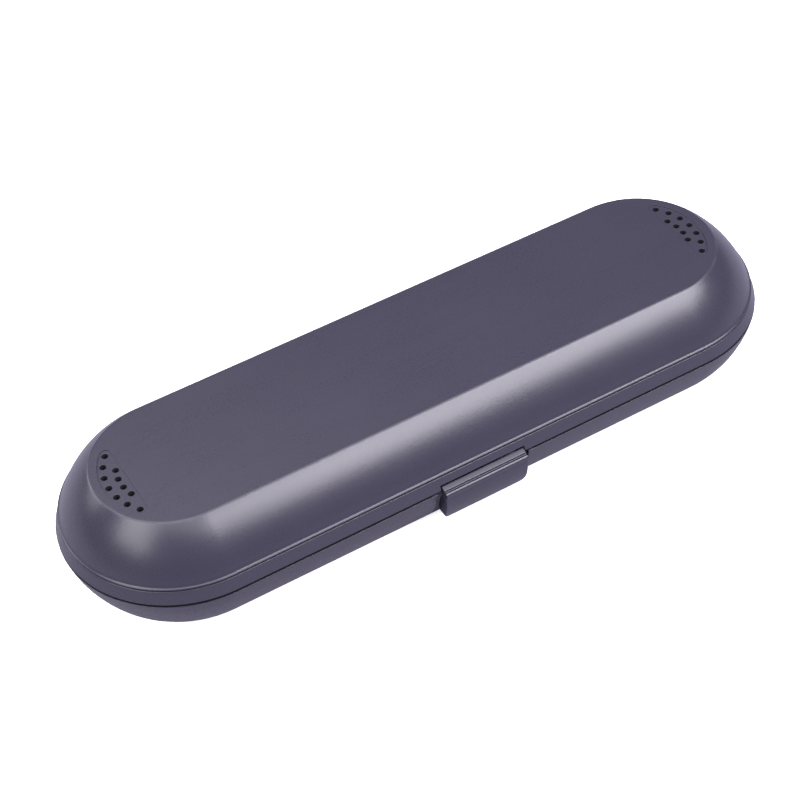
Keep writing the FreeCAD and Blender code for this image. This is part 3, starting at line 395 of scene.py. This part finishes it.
def varied(middle, *swings):
    """A value that patterns centred on 0.5 swing both ways from the middle, each by its reach."""
    total = middle
    for pattern, reach in swings:
        total = (pattern - 0.5) * reach + total
    return total


def moulded_plastic(name, shade, roughness, grain, depth, lid_levels=None):
    """Injection moulded plastic: fine eroded grain, faint flow clouds and dust."""
    finish = Finish(name)
    clouds = finish.noise(34 * MM, detail=3)
    streaks = finish.noise(5 * MM, detail=3, place=finish.stretched(0.16, 1, 1))
    fine = finish.noise(grain, detail=2, rough=0.6)
    dust = finish.specks(0.26 * MM, share=0.012)
    rubbed = tone(*(c * 1.9 + 0.02 for c in shade))
    tint = finish.mix(clouds, tone(*shade, 0.93), tone(*shade, 1.07))
    rough = varied(roughness, (clouds, 0.04), (streaks, 0.04), (fine, 0.12))
    if lid_levels:
        # The crease round the lid's top is rubbed paler, and the drilled holes' walls get painted
        # shade, near black.
        ceiling, vent_floor = lid_levels
        level_face, steep_face, upright_face = 0.985, 0.6, 0.3
        height = finish.axis("Z")
        level = finish.facing("Z")
        patchy = finish.ramp(finish.noise(2.5 * MM, detail=4), (0.42, 0.25), (0.62, 1))
        crease = (1 - (height < vent_floor)) * (level < level_face) * (1 - (level < steep_face))
        # Painted shade: this mask darkens the holes' walls almost to black and makes them rougher.
        painted_hole_shade = (1 - (height < ceiling)) * (height < vent_floor) * (level < upright_face)
        tint = finish.mix(crease * patchy * 0.25, tint, rubbed)
        tint = finish.mix(painted_hole_shade * 0.8, tint, tone(0.002, 0.002, 0.003))
        rough = rough + painted_hole_shade * 0.4
    tint = finish.mix(dust * 0.6, tint, rubbed)
    waves = finish.bump(finish.noise(26 * MM, detail=1), 0.008 * MM)
    normal = finish.bump(fine + dust * 0.5, depth, waves)
    return finish.surface(Base_Color=tint, Roughness=rough, Normal=normal)


def silvered_liner():
    """Vacuum metallised plastic with a faint orange peel."""
    finish = Finish("silvered_liner")
    clouds = finish.noise(20 * MM, detail=3)
    peel = finish.noise(1.1 * MM, detail=1)
    dust = finish.specks(0.16 * MM, share=0.02)
    tint = finish.mix(clouds, tone(0.68, 0.69, 0.71), tone(0.72, 0.73, 0.75))
    tint = finish.mix(dust, tint, tone(0.45, 0.45, 0.46))
    return finish.surface(Base_Color=tint, Metallic=1.0, Roughness=varied(0.27, (clouds, 0.04)),
                          Normal=finish.bump(peel, 0.012 * MM))


def rubber(name, shade, grain=0.25 * MM, gloss=0.5):
    """Soft moulded rubber: matt, with a fine skin and a little bloom."""
    finish = Finish(name)
    fine = finish.noise(grain, detail=3, rough=0.6)
    bloom = finish.ramp(finish.noise(6 * MM, detail=4), (0.45, 0), (0.75, 1))
    tint = finish.mix(bloom * 0.35, tone(*shade), tone(*shade, 2.4))
    return finish.surface(Base_Color=tint, Roughness=varied(0.72, (fine, 0.2)),
                          Normal=finish.bump(fine, 0.02 * MM), Specular_IOR_Level=gloss)


def ribbed_silicone():
    """Silicone with fine moulded ribs across the handle."""
    finish = Finish("ribbed_silicone")
    ribs = finish.ridges("X", 0.22 * MM)
    fine = finish.noise(0.2 * MM, detail=2)
    tint = finish.mix(ribs, tone(0.055, 0.062, 0.068), tone(0.085, 0.094, 0.10))
    return finish.surface(Base_Color=tint, Roughness=varied(0.58, (fine, 0.15)),
                          Normal=finish.bump(ribs + fine * 0.12, 0.16 * MM))


def drawn_steel():
    """Turned and drawn steel: fine lines along X, small rubbed patches."""
    finish = Finish("drawn_steel")
    lines = finish.noise(0.12 * MM, detail=2, place=finish.stretched(0.05, 1, 1))
    patches = finish.noise(1.5 * MM, detail=3)
    tint = finish.mix(patches, tone(0.50, 0.50, 0.51), tone(0.66, 0.66, 0.65))
    return finish.surface(Base_Color=tint, Metallic=1.0,
                          Roughness=varied(0.32, (lines, 0.25), (patches, 0.1)),
                          Normal=finish.bump(lines, 0.006 * MM))


def nickel():
    """Bright plating with a few dull patches."""
    finish = Finish("nickel_plate")
    patches = finish.noise(1.2 * MM, detail=3)
    tint = finish.mix(patches, tone(0.60, 0.58, 0.54), tone(0.72, 0.70, 0.66))
    return finish.surface(Base_Color=tint, Metallic=1.0, Roughness=varied(0.22, (patches, 0.2)),
                          Normal=finish.bump(patches, 0.004 * MM))


def circuit_board():
    """Green solder mask over copper tracks, with small plated holes."""
    finish = Finish("circuit_board")
    cells = {"Vector": finish.place, "Scale": 1 / (2.4 * MM)}
    edge = finish.node("ShaderNodeTexVoronoi", {"feature": "DISTANCE_TO_EDGE"}, cells)
    tracks = finish.ramp(edge, (0.05, 1), (0.075, 0))
    middle = finish.node("ShaderNodeTexVoronoi", {}, cells, "Distance")
    holes = middle < 0.10
    rings = (middle < 0.2) - holes
    tint = finish.mix(tracks, tone(0.008, 0.085, 0.035), tone(0.02, 0.16, 0.06))
    tint = finish.mix(rings, tint, tone(0.62, 0.48, 0.20))
    tint = finish.mix(holes, tint, tone(0.01, 0.01, 0.01))
    fine = finish.noise(0.3 * MM, detail=2)
    return finish.surface(Base_Color=tint, Metallic=rings * 0.9,
                          Roughness=varied(0.35, (fine, 0.15)),
                          Normal=finish.bump(tracks + rings, 0.03 * MM))


def shrink_wrap():
    """Glossy blue film over the cell, with small wrinkles."""
    finish = Finish("cell_wrap")
    wrinkles = finish.noise(2.2 * MM, detail=4, rough=0.6, place=finish.stretched(1, 0.35, 1))
    tint = finish.mix(wrinkles, tone(0.035, 0.10, 0.25), tone(0.06, 0.16, 0.34))
    return finish.surface(Base_Color=tint, Roughness=varied(0.3, (wrinkles, 0.2)),
                          Normal=finish.bump(wrinkles, 0.12 * MM))


def wire_sleeve():
    """Red insulation of the cell's two wires."""
    finish = Finish("wire_sleeve")
    fine = finish.noise(0.5 * MM, detail=3)
    tint = finish.mix(fine, tone(0.30, 0.012, 0.010), tone(0.42, 0.03, 0.02))
    return finish.surface(Base_Color=tint, Roughness=varied(0.45, (fine, 0.2)),
                          Normal=finish.bump(fine, 0.02 * MM))


def lamp_ceramic():
    """The pale ceramic that the lamps and the status light are packed in."""
    finish = Finish("lamp_ceramic")
    fine = finish.noise(0.25 * MM, detail=3)
    tint = finish.mix(fine, tone(0.68, 0.66, 0.60), tone(0.82, 0.81, 0.76))
    return finish.surface(Base_Color=tint, Roughness=varied(0.5, (fine, 0.2)),
                          Normal=finish.bump(fine, 0.01 * MM))


def polished_glass(name, shade):
    """Clear optical material, with faint dust on it."""
    finish = Finish(name)
    clouds = finish.noise(3 * MM, detail=3)
    dust = finish.specks(0.08 * MM, share=0.02)
    tint = finish.mix(dust, tone(*shade), tone(0.6, 0.6, 0.6))
    return finish.surface(Base_Color=tint, Roughness=varied(0.07, (clouds, 0.08)) + dust * 0.3,
                          Normal=finish.bump(clouds, 0.004 * MM), Transmission_Weight=0.85,
                          IOR=1.46)


def woven_mesh():
    """Black filter cloth: two sets of round threads, over and under."""
    finish = Finish("woven_mesh")
    thread = 0.10 * MM
    weave = finish.ridges("X", thread) * finish.ridges("Y", thread)
    tint = finish.mix(weave, tone(0.002, 0.002, 0.003), tone(0.012, 0.012, 0.014))
    return finish.surface(Base_Color=tint, Roughness=weave * -0.2 + 0.8,
                          Normal=finish.bump(weave, 0.10 * MM), Specular_IOR_Level=0.1)


# Between these heights, upright faces of the lid are the walls of the vents' holes, which get
# painted shade.
HOLE_LEVELS = (LID_CEILING, LID_TOP - VENT_DEPTH - 0.05 * MM)
CASE_SHADE = (0.0285, 0.026, 0.044)

FINISHES = {
    "case_shell": moulded_plastic("case_shell", CASE_SHADE, roughness=0.29,
                                  grain=0.26 * MM, depth=0.014 * MM, lid_levels=HOLE_LEVELS),
    "deck": moulded_plastic("deck", (0.060, 0.060, 0.066), roughness=0.55,
                            grain=0.35 * MM, depth=0.03 * MM),
    "liner": silvered_liner(),
    "seal_rubber": rubber("seal_rubber", (0.003, 0.003, 0.004), gloss=0.1),
    "silicone": ribbed_silicone(),
    "foot_rubber": rubber("foot_rubber", (0.02, 0.02, 0.021), grain=0.4 * MM),
    "steel": drawn_steel(),
    "button": moulded_plastic("button", (0.16, 0.17, 0.19), roughness=0.42,
                              grain=0.2 * MM, depth=0.008 * MM),
    "board": circuit_board(),
    "chip": moulded_plastic("chip", (0.012, 0.012, 0.013), roughness=0.5,
                            grain=0.1 * MM, depth=0.008 * MM),
    "coil": moulded_plastic("coil", (0.035, 0.035, 0.038), roughness=0.6,
                            grain=0.15 * MM, depth=0.012 * MM),
    "cell_wrap": shrink_wrap(),
    "wire": wire_sleeve(),
    "lamp": lamp_ceramic(),
    "quartz": polished_glass("quartz", (0.86, 0.90, 0.96)),
    "light_guide": polished_glass("light_guide", (0.92, 0.94, 0.96)),
    "header": moulded_plastic("header", (0.012, 0.012, 0.012), roughness=0.45,
                              grain=0.1 * MM, depth=0.008 * MM),
    "magnet": nickel(),
    "filter_mesh": woven_mesh(),
}
SLOTS = {part["node"]: part["material_slot"] for part in frame["record"]["subparts"]}

for node, thing in frame["nodes"].items():
    paint(thing, FINISHES[SLOTS[node]])


# ---------------------------------------------------------------- the lid's upper shell

# Cutting tools stand this far out of what they cut.
CUT_PAST = 1 * MM

# The shell's section, from its foot inward: a bead, a long arc to the crease, and the flat top.
CREASE = SHELL_EDGE - 11.4 * MM
CREASE_SOFTNESS = 0.4 * MM
INNER_CREASE = CREASE - LID_WALL / 3
OUTER_ARC = 38 * MM
INNER_ARC = 35.8 * MM
FOOT_BEAD = 0.36 * MM
BEAD_PROUD = 0.22 * MM
BEAD_ROOM = 0.8 * MM
TOP_RIM = CREASE - 0.9 * MM
CEILING_RIM = CREASE - 2 * MM

# The vents are D-shaped recesses at both ends, each with two rows of round holes. A row is its
# radius about the end's centre, the degrees from hole to hole, and the holes' places in it.
VENT_RADIUS = 21.5 * MM
VENT_CHORD = SPAN + VENT_RADIUS - 8.0 * MM
VENT_CORNER = 1.8 * MM
VENT_HOLE = 1.0 * MM
VENT_ROWS = [(19.8 * MM, 12.6, range(-3, 4)), (16.2 * MM, 12.85, (-1.5, -0.5, 0.5, 1.5))]

SCREW_HEAD = 1.65 * MM
BOSS_RADIUS = 2 * MM
BOSS_SUNK = 0.5 * MM


def vent_tool(side):
    """A D-shaped block with round corners that sinks the recess at one end of the lid."""
    inner = VENT_RADIUS - VENT_CORNER
    across = VENT_CHORD + VENT_CORNER - SPAN
    along = math.sqrt(inner ** 2 - across ** 2)
    lean = math.degrees(math.atan2(along, across))
    outline = turn_points((SPAN, 0), VENT_RADIUS, begin=-lean, end=lean, steps=48)
    outline += turn_points((SPAN + across, along), VENT_CORNER,
                           begin=lean, end=180, steps=10)[1:]
    outline += turn_points((SPAN + across, -along), VENT_CORNER,
                           begin=180, end=360 - lean, steps=10)[:-1]
    floor = LID_TOP - VENT_DEPTH
    return extruded("vent_tool", [(side * x, y, floor) for x, y in outline],
                    (0, 0, 2 * CUT_PAST))


def vent_places():
    """Where the holes are, as seen from above."""
    places = []
    for side in (-1, 1):
        for radius, step, row in VENT_ROWS:
            for place in row:
                turn = math.radians(step * place)
                places.append((side * (SPAN + radius * math.cos(turn)), radius * math.sin(turn)))
    return places


def boss_places():
    """Where the liner's four screws are: their heads' outer edges are their node's box."""
    return [(x - math.copysign(SCREW_HEAD, x), y - math.copysign(SCREW_HEAD, y))
            for x in (screws_low.x, screws_high.x) for y in (screws_low.y, screws_high.y)]


def make_lid_shell():
    """The upper shell: soft crease, beaded foot, sunk vents with drilled holes, liner bosses."""
    inside = arc((SHELL_EDGE - LID_WALL, SHELL_FOOT), (INNER_CREASE, LID_CEILING), INNER_ARC,
                 steps=14)
    outside = arc((SHELL_EDGE, SHELL_FOOT), (CREASE, LID_TOP), OUTER_ARC, steps=20)
    outline = [(CEILING_RIM, LID_CEILING), (INNER_CREASE, LID_CEILING)]
    outline += inside[-2::-1]
    outline += turn_points((SHELL_EDGE + BEAD_PROUD - FOOT_BEAD, SHELL_FOOT + FOOT_BEAD),
                           FOOT_BEAD, begin=-90, end=78, steps=10)
    outline += [point for point in outside if point[1] > SHELL_FOOT + BEAD_ROOM]
    crease = len(outline) - 1
    outline += [(TOP_RIM, LID_TOP)]
    shell = stadium("lid_shell_finished", softened(outline, crease, CREASE_SOFTNESS), SPAN)
    for side in (-1, 1):
        combine(shell, vent_tool(side), "DIFFERENCE")
    drill = rod(LID_CEILING - CUT_PAST, LID_TOP + CUT_PAST, VENT_HOLE, sides=32)
    combine(shell, joined(copies(drill, vent_places()), "holes"), "DIFFERENCE")
    for boss in copies(rod(LINER_TOP, LID_CEILING + BOSS_SUNK, BOSS_RADIUS), boss_places()):
        combine(shell, boss, "UNION")
    round_edges(shell, 0.1 * MM, segments=2, sharper_than=50)
    stand_for(shell, "lid_shell")


# ---------------------------------------------------------------- the latch

# The flap's section, from its back: a ledge that slopes forward from a brow, with two fine grooves
# in it (how far each lies from the ledge's back, and half its width), a round bead in front, and a
# curved plate below it.
LEDGE_BACK = 0.85 * MM
LEDGE_SLOPE = 0.55
BROW_REACH = 1.1 * MM
BROW_DROP = 0.24 * MM
GROOVES = ((1.80 * MM, 0.16 * MM), (2.30 * MM, 0.15 * MM))
GROOVE_DEPTH = 0.55 * MM
LATCH_BEAD = 1.2 * MM
PLATE_STEP = (0.36 * MM, 0.25 * MM)
PLATE_ARC = 17.5 * MM
PLATE_FOOT = 3.95 * MM
PLATE_THICKNESS = 1.9 * MM
PLATE_CORNER = 3.6 * MM

# The flap's back, from its foot up to the ledge, as (y, z) steps from the pin.
LATCH_BACK = ((3.3 * MM, -6.6 * MM), (2.0 * MM, -2.8 * MM), (LEDGE_BACK, -0.4 * MM))

# The slots leave room for the two lugs that hold the pin.
SLOT_START = 6.7 * MM
SLOT_WIDTH = 3.6 * MM
SLOT_RADIUS = 1.08 * MM
SLOT_FRONT = 1.3 * MM
SLOT_STEP = 0.3 * MM
SLOT_FOOT = 3.5 * MM


def latch_outline(pin, front, top, foot):
    """The flap's section as (y, z) points, from the ledge's back, over the bead, and round."""
    ledge_back = pin[0] + LEDGE_BACK
    brow = (ledge_back - BROW_REACH, top - BROW_DROP)
    steep = math.atan(LEDGE_SLOPE)
    bead_touch = front + LATCH_BEAD - LATCH_BEAD * math.sin(steep)
    bead_centre = (front + LATCH_BEAD,
                   brow[1] - LEDGE_SLOPE * (brow[0] - bead_touch) - LATCH_BEAD * math.cos(steep))
    outline = [(ledge_back, top), brow]
    for reach, half in GROOVES:
        y = ledge_back - reach
        z = brow[1] - LEDGE_SLOPE * (brow[0] - y)
        outline += [(y + half, z + LEDGE_SLOPE * half), (y, z - GROOVE_DEPTH),
                    (y - half, z - LEDGE_SLOPE * half)]
    outline += turn_points(bead_centre, LATCH_BEAD,
                           begin=90 + math.degrees(steep), end=208, steps=12)
    under_bead = outline[-1]
    plate_top = (under_bead[0] + PLATE_STEP[0], under_bead[1] - PLATE_STEP[1])
    plate_foot = (front + PLATE_FOOT, foot)
    outline += arc(plate_top, plate_foot, PLATE_ARC, steps=14)
    outline += [(plate_foot[0] + PLATE_THICKNESS, foot)]
    outline += [(pin[0] + y, pin[1] + z) for y, z in LATCH_BACK]
    return outline


def make_latch():
    """The latch flap: a sloping ledge with two fine grooves, a round bead, and a curved plate."""
    low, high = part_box("latch_flap")
    pin_low, pin_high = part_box("latch_pin")
    pin = ((pin_low.y + pin_high.y) / 2, (pin_low.z + pin_high.z) / 2)
    front, back, top, foot = low.y, high.y, high.z, low.z
    outline = latch_outline(pin, front, top, foot)
    flap = extruded("latch_flap_finished", [(low.x, y, z) for y, z in outline],
                    (high.x - low.x, 0, 0))
    for side in (-1, 1):
        inward = high.x - PLATE_CORNER
        outward = high.x + CUT_PAST
        corner = turn_points((side * inward, foot + PLATE_CORNER), PLATE_CORNER,
                             begin=-90, end=-90 + side * 90, steps=12)
        corner += [(side * outward, foot + PLATE_CORNER), (side * outward, foot - CUT_PAST),
                   (side * inward, foot - CUT_PAST)]
        combine(flap, extruded("corner", [(x, front - CUT_PAST, z) for x, z in corner],
                               (0, back - front + 2 * CUT_PAST, 0)), "DIFFERENCE")
        slot = [(back + CUT_PAST, pin[1] + SLOT_RADIUS)]
        slot += turn_points(pin, SLOT_RADIUS, begin=90, end=180, steps=8)
        slot += [(pin[0] - SLOT_FRONT, pin[1] - SLOT_STEP),
                 (pin[0] - SLOT_FRONT, pin[1] - SLOT_FOOT),
                 (back + CUT_PAST, pin[1] - SLOT_FOOT)]
        combine(flap, extruded("slot", [(side * SLOT_START, y, z) for y, z in slot],
                               (side * SLOT_WIDTH, 0, 0)), "DIFFERENCE")
    round_edges(flap, 0.12 * MM, segments=2, sharper_than=44)
    stand_for(flap, "latch_flap")


# ---------------------------------------------------------------- nodes with eased edges

# How broad each node's eased edges are, in millimetres.
EASED = {
    "lid_rim": 0.17, "base_shell": 0.25, "deck_tray": 0.18, "handle_tub": 0.15,
    "head_tub_left": 0.2, "head_tub_right": 0.2, "lid_liner": 0.15, "rim_seal": 0.2,
    "handle_pads": 0.22, "rubber_feet": 0.3, "power_button": 0.25, "deck_screws": 0.12,
    "liner_screws": 0.12, "board_screws": 0.12, "usb_socket": 0.1, "hinge_pin_left": 0.12,
    "hinge_pin_right": 0.12, "latch_pin": 0.1, "main_board": 0.1, "battery_cell": 0.3,
    "control_chip": 0.1, "boost_coil": 0.3, "hall_sensor": 0.12, "power_switch": 0.15,
    "switch_plunger": 0.2, "light_pipe": 0.12, "status_led": 0.08, "lid_magnet": 0.12,
    "uv_board_left": 0.1, "uv_board_right": 0.1, "uv_led_left": 0.15, "uv_led_right": 0.15,
    "uv_header_left": 0.15, "uv_header_right": 0.15, "uv_window_left": 0.15,
    "uv_window_right": 0.15, "vent_filter_left": 0.1, "vent_filter_right": 0.1,
}
SEAL_BULGE = 0.35 * MM
SEAL_SKIN = 0.3 * MM


def bulge(seal):
    """Push the outer edge of the seal's ring outward, as the closed lid does."""
    edge = max(vertex.co.y for vertex in seal.data.vertices)
    for vertex in seal.data.vertices:
        middle = Vector((max(-SPAN, min(SPAN, vertex.co.x)), 0, vertex.co.z))
        away = vertex.co - middle
        if away.length > edge - SEAL_SKIN:
            vertex.co += away.normalized() * SEAL_BULGE


make_lid_shell()
make_latch()
for node, width in EASED.items():
    eased = copy_of(node)
    if node == "rim_seal":
        bulge(eased)
    round_edges(eased, width * MM)
    stand_for(eased, node)


# ---------------------------------------------------------------- floor, light and camera

FLOOR_SIZE = 40
FLOOR_GLOW = 0.8
FLOOR_BOUNCE = (0.29, 0.275, 0.36)
WORLD_GLOW = (0.13, 0.13, 0.13)
WORLD_SEEN = (0.96, 0.96, 0.96)
LIT_POINT = (0, 0, 0.03)

# The camera stands left of the latch and looks down, with a little roll. Angles are in degrees.
CAMERA_PLACE = (-0.18963, -0.37085, 0.43535)
CAMERA_TURN = -26.27
CAMERA_TILT = 44.81
CAMERA_ROLL = 5.63
CAMERA_LENS = 86.7
CAMERA_SENSOR = 36


def make_floor():
    """A pale sheet, which throws little light back up at the case."""
    bpy.ops.object.select_all(action="DESELECT")
    bpy.ops.mesh.primitive_plane_add(size=FLOOR_SIZE, location=(0, 0, 0))
    floor = bpy.context.active_object
    floor.name = "floor"
    finish = Finish("pale_floor")
    clouds = finish.noise(0.4, detail=2)
    sheet = finish.mix(clouds, tone(0.91, 0.91, 0.92), tone(0.94, 0.94, 0.94))
    seen = finish.camera_sees()
    paint(floor, finish.surface(Base_Color=finish.mix(seen, tone(*FLOOR_BOUNCE), sheet),
                                Roughness=varied(0.7, (clouds, 0.1)),
                                Emission_Color=finish.mix(seen, tone(0, 0, 0), sheet),
                                Emission_Strength=FLOOR_GLOW))


def make_world():
    """Pale all round where the camera sees it, and dim as a light on the case."""
    world = Finish("studio", bpy.data.worlds)
    shade = world.mix(world.camera_sees(), tone(*WORLD_GLOW), tone(*WORLD_SEEN))
    backdrop = world.node("ShaderNodeBackground", {}, {"Color": shade})
    world.node("ShaderNodeOutputWorld", {}, {"Surface": backdrop})
    bpy.context.scene.world = world.owner


def soft_box(name, place, width, height, power, shade=(1, 1, 1)):
    """A rectangular lamp that faces the case."""
    lamp = bpy.data.lights.new(name, "AREA")
    lamp.shape = "RECTANGLE"
    lamp.size = width
    lamp.size_y = height
    lamp.energy = power
    lamp.color = shade
    holder = bpy.data.objects.new(name, lamp)
    bpy.context.scene.collection.objects.link(holder)
    holder.location = place
    away = Vector(place) - Vector(LIT_POINT)
    holder.rotation_euler = away.to_track_quat("Z", "Y").to_euler()


def make_camera():
    turn, tilt, roll = (math.radians(a) for a in (CAMERA_TURN, CAMERA_TILT, CAMERA_ROLL))
    back = Vector((math.sin(turn) * math.cos(tilt), -math.cos(turn) * math.cos(tilt),
                   math.sin(tilt)))
    level_right = Vector((math.cos(turn), math.sin(turn), 0))
    level_up = back.cross(level_right)
    right = level_right * math.cos(roll) - level_up * math.sin(roll)
    up = level_right * math.sin(roll) + level_up * math.cos(roll)
    lens = bpy.data.cameras.new("camera")
    lens.lens = CAMERA_LENS
    lens.sensor_width = CAMERA_SENSOR
    lens.clip_start = 0.01
    holder = bpy.data.objects.new("camera", lens)
    bpy.context.scene.collection.objects.link(holder)
    turned = Matrix((right, up, back)).transposed().to_4x4()
    holder.matrix_world = Matrix.Translation(CAMERA_PLACE) @ turned
    bpy.context.scene.camera = holder


make_floor()
make_world()
soft_box("key", (0.56, -0.78, 0.88), 1.0, 0.48, 19.5, (0.96, 0.93, 1.0))
soft_box("fill", (-1.22, -0.28, 0.85), 0.8, 0.7, 10)
soft_box("top", (-0.1, -0.1, 1.4), 2.4, 2.2, 52)
soft_box("rear", (-0.75, 0.90, 0.60), 0.8, 0.6, 6)
make_camera()
bpy.context.scene.view_settings.view_transform = "Standard"
